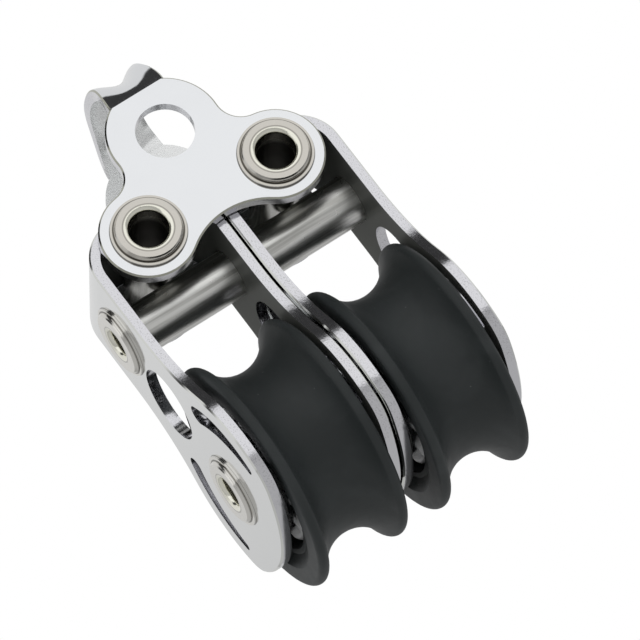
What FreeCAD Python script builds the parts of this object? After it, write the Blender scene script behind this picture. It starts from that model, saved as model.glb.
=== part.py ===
import FreeCAD, Part

import math
import os
from collections import namedtuple

import Sketcher

# Double ball-bearing block with a folded head strap, sizes in millimetres.
# The origin is the centre of the shackle eye. The axle lies straight below it,
# along X, and the two arms of the head strap face -Y and +Y.

DOC = FreeCAD.newDocument("double_block")

# Driving dimensions: alias, value, what it is.
DRIVING = [
    ("eye_to_rivets", 7.3, "height from the eye centre down to the head rivets"),
    ("rivet_spacing", 13.5, "distance between the two head rivets"),
    ("rivets_to_axle", 21.9, "height from the head rivets down to the axle"),
    ("eye_radius", 2.65, "radius of the shackle eye"),
    ("eye_lobe_radius", 5.3, "outline round the eye"),
    ("rivet_lobe_radius", 4.42, "outline round a head rivet"),
    ("lobe_fillet", 2.4, "hollow between the eye lobe and a rivet lobe"),
    ("cleft_radius", 6.85, "hollow under the head, between the rivet lobes"),
    ("fold_height", 4.45, "height of the fold's bend line over the eye centre"),
    ("fold_rise", 4.72, "height of the fold above its bend line"),
    ("fold_waist", 2.55, "half width of the strap at the top of its fold"),
    ("fold_neck", 0.25, "how far the fold's sides draw in halfway up"),
    ("saddle_dip", 1.25, "depth of the hollow across the top of the fold"),
    ("head_plate", 1.1, "thickness of the head strap"),
    ("arm_gap", 12.2, "clear space between the two arms of the head strap"),
    ("side_plate", 1.0, "thickness of a side strap"),
    ("leg_gap", 10.7, "clear space between the two legs of a side strap"),
    ("back_gap", 0.2, "slit between the two inner legs"),
    ("strap_half_width", 5.9, "half the width of a side strap above its cheek"),
    ("strap_bend_radius", 3.2, "inner radius of the two bends of a side strap"),
    ("seat_clearance", 0.05, "slack between spacer, side strap and crossbar"),
    ("cheek_radius", 10.4, "outline of the cheek in front of and behind the axle"),
    ("cheek_corner", 3.5, "rounded lower corners of the cheek"),
    ("cheek_foot_radius", 16.5, "curve of the cheek's lower edge"),
    ("cheek_foot_drop", 7.4, "lowest point of the cheek under the axle"),
    ("cheek_flare", 16.0, "hollow curve from the strap's straight part to the cheek"),
    ("window_radius", 3.55, "round lightening hole in each leg"),
    ("window_height", 9.9, "centre of the lightening hole over the axle"),
    ("slot_outer_radius", 8.75, "outer edge of a crescent slot, from the axle"),
    ("slot_head_radius", 6.85, "inner edge of a crescent slot at its wide end"),
    ("slot_tail_radius", 7.9, "inner edge of a crescent slot at its narrow end"),
    ("slot_head_angle", 46.0, "wide end of a crescent slot, degrees above level"),
    ("slot_tail_angle", 15.0, "narrow end of a crescent slot, degrees below level"),
    ("sheave_radius", 11.0, "outside radius of a sheave"),
    ("sheave_width", 9.4, "width of a sheave over its flanges"),
    ("groove_root", 8.28, "radius at the bottom of the rope groove"),
    ("rim_round", 0.55, "round of a flange's rim"),
    ("dish_radius", 9.0, "radius where the flat side of a flange begins to dish"),
    ("dish_depth", 0.6, "depth of the dished side at the ball track's mouth"),
    ("mouth_step", 0.5, "wall of the sheave round the ball track's mouth"),
    ("ball_radius", 1.45, "radius of a ball"),
    ("ball_pitch_radius", 5.9, "radius of the circle of ball centres"),
    ("ball_row_offset", 2.3, "distance of a ball row from the sheave's middle"),
    ("ball_clearance", 0.03, "slack between a ball and its tracks"),
    ("track_land_radius", 6.7, "land in the sheave between its two ball tracks"),
    ("race_shoulder_radius", 5.75, "shoulder of an inner race, outside the balls"),
    ("race_shoulder_width", 0.45, "width of that shoulder"),
    ("race_boss_radius", 4.2, "boss of an inner race that meets the leg"),
    ("axle_tube_radius", 2.4, "outside radius of the axle rivet"),
    ("axle_bore_radius", 1.4, "bore of the axle rivet"),
    ("crossbar_tube_radius", 1.8, "outside radius of the crossbar rivet"),
    ("crossbar_bore_radius", 1.25, "bore of the crossbar rivet"),
    ("crossbar_spacer_radius", 2.3, "outside radius of a crossbar spacer"),
    ("head_tube_radius", 2.0, "outside radius of a head rivet"),
    ("head_bore_radius", 1.75, "bore of a head rivet"),
    ("head_spacer_radius", 2.25, "outside radius of a head spacer"),
    ("tube_fit", 0.02, "radial slack of a rivet in what it passes through"),
    ("washer_radius", 3.4, "outside radius of a washer"),
    ("axle_washer_radius", 3.5, "outside radius of the axle's washers"),
    ("head_washer", 0.3, "thickness of the head rivets' washers"),
    ("cheek_washer", 0.2, "thickness of the washers on the cheeks"),
    ("rolled_head_radius", 3.08, "outside radius of a rolled rivet head"),
    ("tall_roll", 0.56, "height of a head rivet's rolled head over its washer"),
    ("low_roll", 0.36, "height of the rolled heads on the cheeks over their washers"),
    ("ring_radius", 2.87, "outer edge of the flat ring on a rolled head"),
    ("tall_step", 0.2, "step from a tall head's flat ring down to its rounded rim"),
    ("low_step", 0.12, "step from a low head's flat ring down to its rounded rim"),
    ("ring_draft", 0.08, "lean of that step"),
    ("lip_round", 0.4, "round of a rolled head's rim"),
    ("mouth_round", 0.45, "round of a rolled head's mouth"),
    ("edge_break", 0.15, "bevel that breaks the straps' outer edges"),
    ("trim", 2.0, "what a cutting tool reaches beyond what it cuts"),
]

# Worked-out dimensions: alias, formula, what it is.
DERIVED = [
    ("rivet_x", "dims.rivet_spacing / 2", "place of a head rivet along X"),
    ("arm_outer", "dims.arm_gap / 2 + dims.head_plate", "outer face of an arm"),
    ("fold_half_width",
     "sqrt(dims.eye_lobe_radius * dims.eye_lobe_radius - dims.fold_height * dims.fold_height)",
     "half width of the strap at its bend line"),
    ("sheave_x", "dims.back_gap / 2 + dims.side_plate + dims.leg_gap / 2", "middle of a sheave"),
    ("cheek_outer", "sheave_x + dims.leg_gap / 2 + dims.side_plate", "outer face of a cheek"),
    ("arch_inner_top", "dims.rivets_to_axle + dims.head_spacer_radius + dims.seat_clearance",
     "underside of a side strap's top, over the axle"),
    ("arch_outer_top", "arch_inner_top + dims.side_plate", "top of a side strap over the axle"),
    ("bend_outer_radius", "dims.strap_bend_radius + dims.side_plate", "outer radius of a bend"),
    ("crossbar_height",
     "dims.rivets_to_axle - dims.head_spacer_radius - dims.crossbar_spacer_radius - dims.seat_clearance",
     "crossbar's axis over the axle"),
    ("foot_centre", "dims.cheek_foot_radius - dims.cheek_foot_drop", "centre of the lower edge's curve"),
    ("half_sheave", "dims.sheave_width / 2", "half the width of a sheave"),
    ("rim_centre_radius", "dims.sheave_radius - dims.rim_round", "centre of a rim's round"),
    ("rim_centre_x", "half_sheave - dims.rim_round", "centre of a rim's round along X"),
    ("groove_depth", "rim_centre_radius - dims.groove_root", "groove root under the rim's centre"),
    ("groove_radius",
     "(rim_centre_x * rim_centre_x + groove_depth * groove_depth - dims.rim_round * dims.rim_round)"
     " / (2 * (dims.rim_round + groove_depth))",
     "radius of the groove, tangent to both rims"),
    ("rim_join_x", "rim_centre_x * groove_radius / (groove_radius + dims.rim_round)",
     "where the groove meets a rim's round"),
    ("rim_join_radius",
     "dims.groove_root + groove_radius"
     " - (groove_radius - groove_depth) * groove_radius / (groove_radius + dims.rim_round)",
     "radius where the groove meets a rim's round"),
    ("track_round", "dims.ball_radius + dims.ball_clearance", "section radius of a ball track"),
    ("track_mouth_radius", "dims.ball_pitch_radius + track_round", "bore of the sheave beside the balls"),
    ("track_floor_radius", "dims.ball_pitch_radius - track_round", "floor of an inner race's track"),
    ("lip_radius", "track_mouth_radius + dims.mouth_step", "start of the dished side"),
    ("mouth_x", "half_sheave - dims.dish_depth", "mouth of the ball track along X"),
    ("land_rise", "dims.track_land_radius - dims.ball_pitch_radius", "land over the ball centres"),
    ("land_x", "dims.ball_row_offset - sqrt(track_round * track_round - land_rise * land_rise)",
     "edge of the land along X"),
    ("shoulder_fall", "dims.ball_pitch_radius - dims.race_shoulder_radius", "shoulder under the ball centres"),
    ("shoulder_x",
     "dims.ball_row_offset + sqrt(track_round * track_round - shoulder_fall * shoulder_fall)",
     "inner edge of a race's shoulder"),
    ("shoulder_end", "shoulder_x + dims.race_shoulder_width", "outer edge of a race's shoulder"),
    ("race_length", "dims.leg_gap / 2", "length of one half of an inner race"),
    ("race_bore", "dims.axle_tube_radius + dims.tube_fit", "bore of an inner race"),
    ("step_radius", "dims.ring_radius + dims.ring_draft", "foot of the step on a rolled head"),
    ("slot_inner_radius",
     "dims.slot_head_radius"
     " + (dims.slot_tail_radius * dims.slot_tail_radius - dims.slot_head_radius * dims.slot_head_radius)"
     " / (2 * (dims.slot_head_radius"
     " - dims.slot_tail_radius * cos((dims.slot_head_angle + dims.slot_tail_angle) * 1deg)))",
     "inner edge of a crescent slot, square to its wide end"),
]

SHEET_COLUMNS = ("A", "B", "C")
HALF_TURN = 180.0
BALLS_PER_ROW = 12
FOLD_STEPS = 12
SECTION_POINTS = 9
CONTACT = 1e-5

Edge = namedtuple("Edge", "geo start end")
RolledHead = namedtuple("RolledHead", "washer washer_radius roll step")
HEAD_RIVET = RolledHead("head_washer", "washer_radius", "tall_roll", "tall_step")
CROSSBAR = RolledHead("cheek_washer", "washer_radius", "low_roll", "low_step")
AXLE = RolledHead("cheek_washer", "axle_washer_radius", "low_roll", "low_step")
Point = FreeCAD.Vector


def fill_sheet(label, rows, formulas):
    """A sheet with one row per dimension: its name, its value and what it is."""
    sheet = DOC.addObject("Spreadsheet::Sheet", label)
    for number, (alias, value, meaning) in enumerate(rows, start=1):
        name_cell, value_cell, note_cell = (column + str(number) for column in SHEET_COLUMNS)
        sheet.set(name_cell, alias)
        sheet.set(value_cell, "=" + value if formulas else str(value))
        sheet.set(note_cell, meaning)
        sheet.setAlias(value_cell, alias)
    DOC.recompute()
    return sheet


dims = fill_sheet("dims", DRIVING, False)
derived = fill_sheet("derived", DERIVED, True)
DRIVING_NAMES = {row[0] for row in DRIVING}


def cell(name):
    """The expression that names a dimension's cell."""
    return ("dims." if name in DRIVING_NAMES else "derived.") + name


def size(name):
    """A dimension's present value."""
    sheet = dims if name in DRIVING_NAMES else derived
    return float(sheet.get(name))


def bind(thing, path, expression):
    """Tie one property of an object to the sheet."""
    thing.setExpression(path, expression)


class Outline:
    """A sketch on one of its body's origin planes, with sizes tied to the sheet."""

    def __init__(self, body, plane, name):
        self.sketch = body.newObject("Sketcher::SketchObject", name)
        planes = {feature.Role: feature for feature in body.Origin.OriginFeatures}
        self.sketch.AttachmentSupport = [(planes[plane], "")]
        self.sketch.MapMode = "FlatFace"

    def line(self, first, last):
        geo = self.sketch.addGeometry(Part.LineSegment(Point(*first), Point(*last)), False)
        return Edge(geo, 1, 2)

    def arc(self, centre, first, last, turn):
        """An arc from first to last, anticlockwise where turn is positive."""
        radius = math.dist(centre, first)
        circle = Part.Circle(Point(*centre), Point(0, 0, 1), radius)
        low, high = (first, last) if turn > 0 else (last, first)
        begin = math.atan2(low[1] - centre[1], low[0] - centre[0])
        finish = math.atan2(high[1] - centre[1], high[0] - centre[0])
        if finish <= begin:
            finish += 2 * math.pi
        geo = self.sketch.addGeometry(Part.ArcOfCircle(circle, begin, finish), False)
        return Edge(geo, 1, 2) if turn > 0 else Edge(geo, 2, 1)

    def circle(self, centre, radius_name, x_expression, y_expression):
        shape = Part.Circle(Point(*centre), Point(0, 0, 1), size(radius_name))
        geo = self.sketch.addGeometry(shape, False)
        self.radius(geo, cell(radius_name))
        self.place(geo, 3, centre, x_expression, y_expression)
        return geo

    def constrain(self, *arguments):
        return self.sketch.addConstraint(Sketcher.Constraint(*arguments))

    def radius(self, geo, expression):
        curve = self.sketch.Geometry[geo]
        index = self.constrain("Radius", geo, curve.Radius)
        bind(self.sketch, f"Constraints[{index}]", expression)

    def along(self, axis, geo, pos, value, expression):
        """Tie one coordinate of a point, axis X or Y, to a positive expression."""
        if expression is None:
            self.constrain("PointOnObject", geo, pos, -2 if axis == "X" else -1)
            return
        ends = (-1, 1, geo, pos) if value > 0 else (geo, pos, -1, 1)
        index = self.constrain("Distance" + axis, *ends, abs(value))
        bind(self.sketch, f"Constraints[{index}]", expression)

    def place(self, geo, pos, point, x_expression, y_expression):
        self.along("X", geo, pos, point[0], x_expression)
        self.along("Y", geo, pos, point[1], y_expression)

    def chain(self, edges, smooth):
        """Join the edges end to start in a ring, tangent where smooth says so."""
        for number, edge in enumerate(edges):
            following = edges[(number + 1) % len(edges)]
            kind = "Tangent" if smooth[number] else "Coincident"
            self.constrain(kind, edge.geo, edge.end, following.geo, following.start)


Corner = namedtuple("Corner", "x y")
Bend = namedtuple("Bend", "radius turn")


def coordinate(text):
    """Value and unsigned expression of a coordinate such as '-rivet_x' or '0'."""
    if text == "0":
        return 0.0, None
    name = text.lstrip("-")
    sign = -1.0 if text.startswith("-") else 1.0
    return sign * size(name), cell(name)


def bend_centre(first, last, radius, turn):
    """Centre of the shorter arc of this radius from first to last."""
    half = math.dist(first, last) / 2
    middle = ((first[0] + last[0]) / 2, (first[1] + last[1]) / 2)
    reach = math.sqrt(max(radius * radius - half * half, 0.0))
    along = ((last[0] - first[0]) / (2 * half), (last[1] - first[1]) / (2 * half))
    return (middle[0] - turn * along[1] * reach, middle[1] + turn * along[0] * reach)


def ring(outline, corners, bends):
    """A closed profile through named corners, with bends by the number of their first corner."""
    points = [(coordinate(corner.x)[0], coordinate(corner.y)[0]) for corner in corners]
    edges = []
    for number, first in enumerate(points):
        last = points[(number + 1) % len(points)]
        bend = bends.get(number)
        if bend is None:
            edges.append(outline.line(first, last))
            continue
        centre = bend_centre(first, last, size(bend.radius), bend.turn)
        edges.append(outline.arc(centre, first, last, bend.turn))
    outline.chain(edges, [False] * len(edges))
    for number, corner in enumerate(corners):
        edge = edges[number]
        outline.place(edge.geo, edge.start, points[number], coordinate(corner.x)[1], coordinate(corner.y)[1])
        if number in bends:
            outline.radius(edge.geo, cell(bends[number].radius))


def mirrored(corners, bends):
    """Corners of the +X half followed by their mirror images, for a symmetric ring."""
    back = [Corner("-" + corner.x, corner.y) for corner in reversed(corners)]
    count = len(corners)
    all_bends = dict(bends)
    for number, bend in bends.items():
        if number < count - 1:
            all_bends[2 * count - 2 - number] = bend
    return list(corners) + back, all_bends


def turned_body(label, plane, corners, bends):
    """A body turned about its sketch's horizontal axis."""
    body = DOC.addObject("PartDesign::Body", label)
    body.Label = label
    outline = Outline(body, plane, label + "_profile")
    ring(outline, corners, bends)
    turn = body.newObject("PartDesign::Revolution", label + "_turn")
    turn.Profile = outline.sketch
    turn.ReferenceAxis = (outline.sketch, ["H_Axis"])
    turn.Angle = 2 * HALF_TURN
    outline.sketch.Visibility = False
    DOC.recompute()
    return body


def padded_body(label, plane, draw, length_expression):
    """A body padded equally to both sides of its sketch."""
    body = DOC.addObject("PartDesign::Body", label)
    outline = Outline(body, plane, label + "_sketch")
    draw(outline)
    pad = body.newObject("PartDesign::Pad", label + "_pad")
    pad.Profile = outline.sketch
    pad.Midplane = True
    bind(pad, "Length", length_expression)
    DOC.recompute()
    return body


def set_down(thing, x_expression=None, z_expression=None):
    """Move an object to its place under the eye by tied coordinates."""
    if x_expression:
        bind(thing, "Placement.Base.x", x_expression)
    if z_expression:
        bind(thing, "Placement.Base.z", z_expression)


AXLE_Z = "-(dims.eye_to_rivets + dims.rivets_to_axle)"
RIVETS_Z = "-dims.eye_to_rivets"
CROSSBAR_Z = AXLE_Z + " + derived.crossbar_height"
SIDES = (("left", "-"), ("right", ""))


def circle_meeting(first_centre, first_reach, second_centre, second_reach, side):
    """Point at the given reaches from two centres, on one side of the line between them."""
    span = math.dist(first_centre, second_centre)
    along = (first_reach ** 2 - second_reach ** 2 + span ** 2) / (2 * span)
    across = math.sqrt(first_reach ** 2 - along ** 2) * side
    ux = (second_centre[0] - first_centre[0]) / span
    uy = (second_centre[1] - first_centre[1]) / span
    return (first_centre[0] + ux * along - uy * across, first_centre[1] + uy * along + ux * across)


def beyond(start, through, reach):
    """Point at this reach from start, in the direction of through."""
    span = math.dist(start, through)
    return (start[0] + (through[0] - start[0]) * reach / span,
            start[1] + (through[1] - start[1]) * reach / span)


def flipped(point):
    return (-point[0], point[1])


def draw_head(outline):
    """Three-lobed arm of the head strap: eye on top, a rivet lobe to each side."""
    eye_radius = size("eye_lobe_radius")
    lobe_radius = size("rivet_lobe_radius")
    fillet = size("lobe_fillet")
    cleft = size("cleft_radius")
    eye = (0.0, 0.0)
    lobe = (size("rivet_x"), -size("eye_to_rivets"))
    hollow = circle_meeting(eye, eye_radius + fillet, lobe, lobe_radius + fillet, 1)
    under = circle_meeting(flipped(lobe), lobe_radius + cleft, lobe, lobe_radius + cleft, -1)
    top = (size("fold_half_width"), size("fold_height"))
    eye_end = beyond(eye, hollow, eye_radius)
    lobe_start = beyond(lobe, hollow, lobe_radius)
    lobe_end = beyond(lobe, under, lobe_radius)

    bend_line = outline.line(top, flipped(top))
    left_eye = outline.arc(eye, flipped(top), flipped(eye_end), 1)
    left_hollow = outline.arc(flipped(hollow), flipped(eye_end), flipped(lobe_start), -1)
    left_lobe = outline.arc(flipped(lobe), flipped(lobe_start), flipped(lobe_end), 1)
    bottom = outline.arc(under, flipped(lobe_end), lobe_end, -1)
    right_lobe = outline.arc(lobe, lobe_end, lobe_start, 1)
    right_hollow = outline.arc(hollow, lobe_start, eye_end, -1)
    right_eye = outline.arc(eye, eye_end, top, 1)
    edges = [bend_line, left_eye, left_hollow, left_lobe, bottom, right_lobe, right_hollow, right_eye]
    outline.chain(edges, [False, True, True, True, True, True, True, False])
    outline.constrain("Horizontal", bend_line.geo)
    outline.along("Y", bend_line.geo, 1, top[1], cell("fold_height"))
    for arc in (left_eye, right_eye):
        outline.constrain("Coincident", arc.geo, 3, -1, 1)
        outline.radius(arc.geo, cell("eye_lobe_radius"))
    for arc, centre in ((left_lobe, flipped(lobe)), (right_lobe, lobe)):
        outline.place(arc.geo, 3, centre, cell("rivet_x"), cell("eye_to_rivets"))
        outline.radius(arc.geo, cell("rivet_lobe_radius"))
    for arc in (left_hollow, right_hollow):
        outline.radius(arc.geo, cell("lobe_fillet"))
    outline.radius(bottom.geo, cell("cleft_radius"))

    eye_hole = outline.sketch.addGeometry(Part.Circle(Point(0, 0, 0), Point(0, 0, 1), size("eye_radius")), False)
    outline.constrain("Coincident", eye_hole, 3, -1, 1)
    outline.radius(eye_hole, cell("eye_radius"))
    for centre in (flipped(lobe), lobe):
        hole = Part.Circle(Point(*centre), Point(0, 0, 1), size("head_tube_radius") + size("tube_fit"))
        geo = outline.sketch.addGeometry(hole, False)
        outline.place(geo, 3, centre, cell("rivet_x"), cell("eye_to_rivets"))
        outline.radius(geo, "dims.head_tube_radius + dims.tube_fit")


def fold_line(half_width, reach, depth, height, sag):
    """Line across the fold out to its reach: a smooth hollow that runs out level at half_width."""
    points = []
    for number in range(SECTION_POINTS):
        across = (2 * number / (SECTION_POINTS - 1) - 1) * reach
        hollow = sag * math.cos(math.pi * across / half_width / 2) ** 2
        points.append(Point(across, depth, height - hollow))
    curve = Part.BSplineCurve()
    curve.interpolate(points)
    return curve.toShape()


def fold_section(angle):
    """Section of the fold at this angle round from the front arm, with its outer edges broken."""
    rise = math.sin(angle)
    lean = math.cos(angle)
    plate = size("head_plate")
    bevel = size("edge_break")
    half_width = size("fold_half_width") + (size("fold_waist") - size("fold_half_width")) * rise ** 2
    half_width -= size("fold_neck") * math.sin(2 * angle) ** 2

    def under(depth):
        """Place along Y and height at this depth under the outer face."""
        return -(size("arm_outer") - depth) * lean, size("fold_height") + (size("fold_rise") - depth) * rise

    outer = fold_line(half_width, half_width - bevel, *under(0.0), size("saddle_dip") * rise)
    inner = fold_line(half_width, half_width, *under(plate), size("saddle_dip") * rise)
    edges = [outer, inner]
    for side, outer_end, inner_end in ((-1, outer.FirstParameter, inner.FirstParameter),
                                       (1, outer.LastParameter, inner.LastParameter)):
        shoulder = Point(side * half_width, *under(bevel))
        edges.append(Part.makeLine(outer.valueAt(outer_end), shoulder))
        edges.append(Part.makeLine(shoulder, inner.valueAt(inner_end)))
    return Part.Wire(Part.__sortEdges__(edges))


def break_contour(body, pad_name):
    """Bevel both outer contours of the padded arms, but not their bend lines or holes."""
    pad = DOC.getObject(pad_name)
    names = []
    for number, edge in enumerate(pad.Shape.Edges, start=1):
        across = edge.BoundBox.YLength < CONTACT
        if across and len(edge.Vertexes) > 1 and not isinstance(edge.Curve, Part.Line):
            names.append("Edge" + str(number))
    bevel = body.newObject("PartDesign::Chamfer", pad_name + "_bevel")
    bevel.Base = (pad, names)
    bind(bevel, "Size", cell("edge_break"))
    DOC.recompute()


def head_strap():
    """One strap folded over at the top, with two arms that carry the eye and the head rivets."""
    arms = padded_body("arm_block", "XZ_Plane", draw_head, "2 * derived.arm_outer")
    break_contour(arms, "arm_block_pad")
    gap = DOC.addObject("Part::Box", "arm_space")
    half_length = "(derived.rivet_x + dims.rivet_lobe_radius + dims.trim)"
    bind(gap, "Length", "2 * " + half_length)
    bind(gap, "Width", "dims.arm_gap")
    bind(gap, "Height", "dims.fold_height + dims.eye_to_rivets + dims.rivet_lobe_radius + 2 * dims.trim")
    bind(gap, "Placement.Base.x", "-" + half_length)
    bind(gap, "Placement.Base.y", "-dims.arm_gap / 2")
    bind(gap, "Placement.Base.z", "-dims.eye_to_rivets - dims.rivet_lobe_radius - dims.trim")
    arms_cut = DOC.addObject("Part::Cut", "arms")
    arms_cut.Base = arms
    arms_cut.Tool = gap
    fold = DOC.addObject("Part::Feature", "fold")
    sections = [fold_section(math.pi * step / FOLD_STEPS) for step in range(FOLD_STEPS + 1)]
    fold.Shape = Part.makeLoft(sections, True)
    strap = DOC.addObject("Part::MultiFuse", "head_strap")
    strap.Shapes = [arms_cut, fold]
    strap.Refine = True
    strap.Label = "head_strap"
    return strap


def draw_hairpin(outline):
    """Edge view of a side strap: two legs joined by a flat top with two round bends."""
    gap = size("leg_gap") / 2
    plate = size("side_plate")
    inner_radius = size("strap_bend_radius")
    top = size("arch_inner_top")
    foot = -size("cheek_radius")
    bend_z = top - inner_radius
    inner_x = gap - inner_radius

    outer_left = outline.line((-gap - plate, bend_z), (-gap - plate, foot))
    left_foot = outline.line((-gap - plate, foot), (-gap, foot))
    inner_left = outline.line((-gap, foot), (-gap, bend_z))
    inner_left_bend = outline.arc((-inner_x, bend_z), (-gap, bend_z), (-inner_x, top), -1)
    inner_top = outline.line((-inner_x, top), (inner_x, top))
    inner_right_bend = outline.arc((inner_x, bend_z), (inner_x, top), (gap, bend_z), -1)
    inner_right = outline.line((gap, bend_z), (gap, foot))
    right_foot = outline.line((gap, foot), (gap + plate, foot))
    outer_right = outline.line((gap + plate, foot), (gap + plate, bend_z))
    outer_right_bend = outline.arc((inner_x, bend_z), (gap + plate, bend_z), (inner_x, top + plate), 1)
    outer_top = outline.line((inner_x, top + plate), (-inner_x, top + plate))
    outer_left_bend = outline.arc((-inner_x, bend_z), (-inner_x, top + plate), (-gap - plate, bend_z), 1)
    edges = [outer_left, left_foot, inner_left, inner_left_bend, inner_top, inner_right_bend,
             inner_right, right_foot, outer_right, outer_right_bend, outer_top, outer_left_bend]
    outline.chain(edges, [False, False, True, True, True, True, False, False, True, True, True, True])
    for line in (left_foot, right_foot, inner_top, outer_top):
        outline.constrain("Horizontal", line.geo)
    outline.constrain("Vertical", outer_left.geo)
    outline.constrain("Vertical", inner_left.geo)
    outline.constrain("Vertical", inner_right.geo)
    outline.constrain("Vertical", outer_right.geo)
    outline.along("X", inner_left.geo, 1, -gap, "dims.leg_gap / 2")
    outline.along("X", inner_right.geo, 2, gap, "dims.leg_gap / 2")
    outline.along("X", outer_left.geo, 2, -gap - plate, "dims.leg_gap / 2 + dims.side_plate")
    outline.along("X", outer_right.geo, 1, gap + plate, "dims.leg_gap / 2 + dims.side_plate")
    outline.along("Y", inner_top.geo, 1, top, "derived.arch_inner_top")
    outline.along("Y", outer_top.geo, 1, top + plate, "derived.arch_outer_top")
    outline.along("Y", left_foot.geo, 1, foot, "dims.cheek_radius")
    outline.along("Y", right_foot.geo, 1, foot, "dims.cheek_radius")
    for bend in (inner_left_bend, inner_right_bend):
        outline.radius(bend.geo, "dims.strap_bend_radius")
    for bend in (outer_left_bend, outer_right_bend):
        outline.radius(bend.geo, "derived.bend_outer_radius")


def draw_slot(outline, side):
    """A crescent slot beside the axle, wide above and narrow below, on one side of it."""
    outer = size("slot_outer_radius")
    head = math.radians(size("slot_head_angle"))
    tail = -math.radians(size("slot_tail_angle"))

    def polar(radius, angle):
        return (side * radius * math.cos(angle), radius * math.sin(angle))

    head_outer = polar(outer, head)
    head_inner = polar(size("slot_head_radius"), head)
    tail_inner = polar(size("slot_tail_radius"), tail)
    tail_outer = polar(outer, tail)
    setback = size("slot_inner_radius") - size("slot_head_radius")
    inner_centre = polar(-setback, head)
    head_cap_centre = polar((outer + size("slot_head_radius")) / 2, head)
    tail_cap_centre = polar((outer + size("slot_tail_radius")) / 2, tail)
    head_cap = outline.arc(head_cap_centre, head_outer, head_inner, side)
    inner = outline.arc(inner_centre, head_inner, tail_inner, -side)
    tail_cap = outline.arc(tail_cap_centre, tail_inner, tail_outer, side)
    rim = outline.arc((0.0, 0.0), tail_outer, head_outer, side)
    outline.chain([head_cap, inner, tail_cap, rim], [False, False, True, True])
    outline.constrain("Coincident", rim.geo, 3, -1, 1)
    outline.radius(rim.geo, cell("slot_outer_radius"))
    outline.radius(inner.geo, cell("slot_inner_radius"))
    head_cos = "cos(dims.slot_head_angle * 1deg)"
    head_sin = "sin(dims.slot_head_angle * 1deg)"
    tail_cos = "cos(dims.slot_tail_angle * 1deg)"
    tail_sin = "sin(dims.slot_tail_angle * 1deg)"
    outline.along("Y", rim.geo, rim.end, head_outer[1], "dims.slot_outer_radius * " + head_sin)
    outline.along("Y", rim.geo, rim.start, tail_outer[1], "dims.slot_outer_radius * " + tail_sin)
    outline.place(inner.geo, inner.start, head_inner,
                  "dims.slot_head_radius * " + head_cos, "dims.slot_head_radius * " + head_sin)
    outline.place(inner.geo, inner.end, tail_inner,
                  "dims.slot_tail_radius * " + tail_cos, "dims.slot_tail_radius * " + tail_sin)


def draw_cheek(outline):
    """Face of a leg: straight above, flaring to the wide cheek, with its holes and slots."""
    half = size("strap_half_width")
    cheek = size("cheek_radius")
    corner = size("cheek_corner")
    foot = size("cheek_foot_radius")
    flare = size("cheek_flare")
    top = size("arch_outer_top") + size("side_plate")
    axle = (0.0, 0.0)
    foot_centre = (0.0, size("foot_centre"))
    flare_centre = (half + flare, math.sqrt((cheek + flare) ** 2 - (half + flare) ** 2))
    corner_centre = circle_meeting(axle, cheek - corner, foot_centre, foot - corner, -1)
    flare_top = (half, flare_centre[1])
    flare_end = beyond(axle, flare_centre, cheek)
    side_end = beyond(axle, corner_centre, cheek)
    foot_end = beyond(foot_centre, corner_centre, foot)

    top_line = outline.line((half, top), (-half, top))
    left_side = outline.line((-half, top), flipped(flare_top))
    left_flare = outline.arc(flipped(flare_centre), flipped(flare_top), flipped(flare_end), -1)
    left_cheek = outline.arc(axle, flipped(flare_end), flipped(side_end), 1)
    left_corner = outline.arc(flipped(corner_centre), flipped(side_end), flipped(foot_end), 1)
    foot_arc = outline.arc(foot_centre, flipped(foot_end), foot_end, 1)
    right_corner = outline.arc(corner_centre, foot_end, side_end, 1)
    right_cheek = outline.arc(axle, side_end, flare_end, 1)
    right_flare = outline.arc(flare_centre, flare_end, flare_top, -1)
    right_side = outline.line(flare_top, (half, top))
    edges = [top_line, left_side, left_flare, left_cheek, left_corner,
             foot_arc, right_corner, right_cheek, right_flare, right_side]
    outline.chain(edges, [False, True, True, True, True, True, True, True, True, False])
    outline.constrain("Horizontal", top_line.geo)
    outline.constrain("Vertical", left_side.geo)
    outline.constrain("Vertical", right_side.geo)
    outline.place(top_line.geo, 1, (half, top), cell("strap_half_width"),
                  "derived.arch_outer_top + dims.side_plate")
    outline.along("X", top_line.geo, 2, -half, cell("strap_half_width"))
    for arc in (left_cheek, right_cheek):
        outline.constrain("Coincident", arc.geo, 3, -1, 1)
        outline.radius(arc.geo, cell("cheek_radius"))
    for arc in (left_corner, right_corner):
        outline.radius(arc.geo, cell("cheek_corner"))
    for arc in (left_flare, right_flare):
        outline.radius(arc.geo, cell("cheek_flare"))
    outline.place(foot_arc.geo, 3, foot_centre, None, cell("foot_centre"))
    outline.radius(foot_arc.geo, cell("cheek_foot_radius"))

    outline.circle((0.0, size("window_height")), "window_radius", None, cell("window_height"))
    for height, tube in (("crossbar_height", "crossbar_tube_radius"), (None, "axle_tube_radius")):
        centre = Point(0, size(height) if height else 0, 0)
        hole = Part.Circle(centre, Point(0, 0, 1), size(tube) + size("tube_fit"))
        geo = outline.sketch.addGeometry(hole, False)
        outline.place(geo, 3, (centre.x, centre.y), None, cell(height) if height else None)
        outline.radius(geo, cell(tube) + " + dims.tube_fit")
    draw_slot(outline, 1)
    draw_slot(outline, -1)


def is_skin(face):
    """Whether a face is on the outside of the hairpin: a leg's, the top's or a bend's."""
    if isinstance(face.Surface, Part.Cylinder):
        return abs(face.Surface.Axis.y) > 0 and abs(face.Surface.Radius - size("bend_outer_radius")) < CONTACT
    if not isinstance(face.Surface, Part.Plane):
        return False
    box = face.BoundBox
    leg = box.XLength < CONTACT and abs(abs(box.XMin) - size("leg_gap") / 2 - size("side_plate")) < CONTACT
    top = box.ZLength < CONTACT and abs(box.ZMax - size("arch_outer_top")) < CONTACT
    return leg or top


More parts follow.
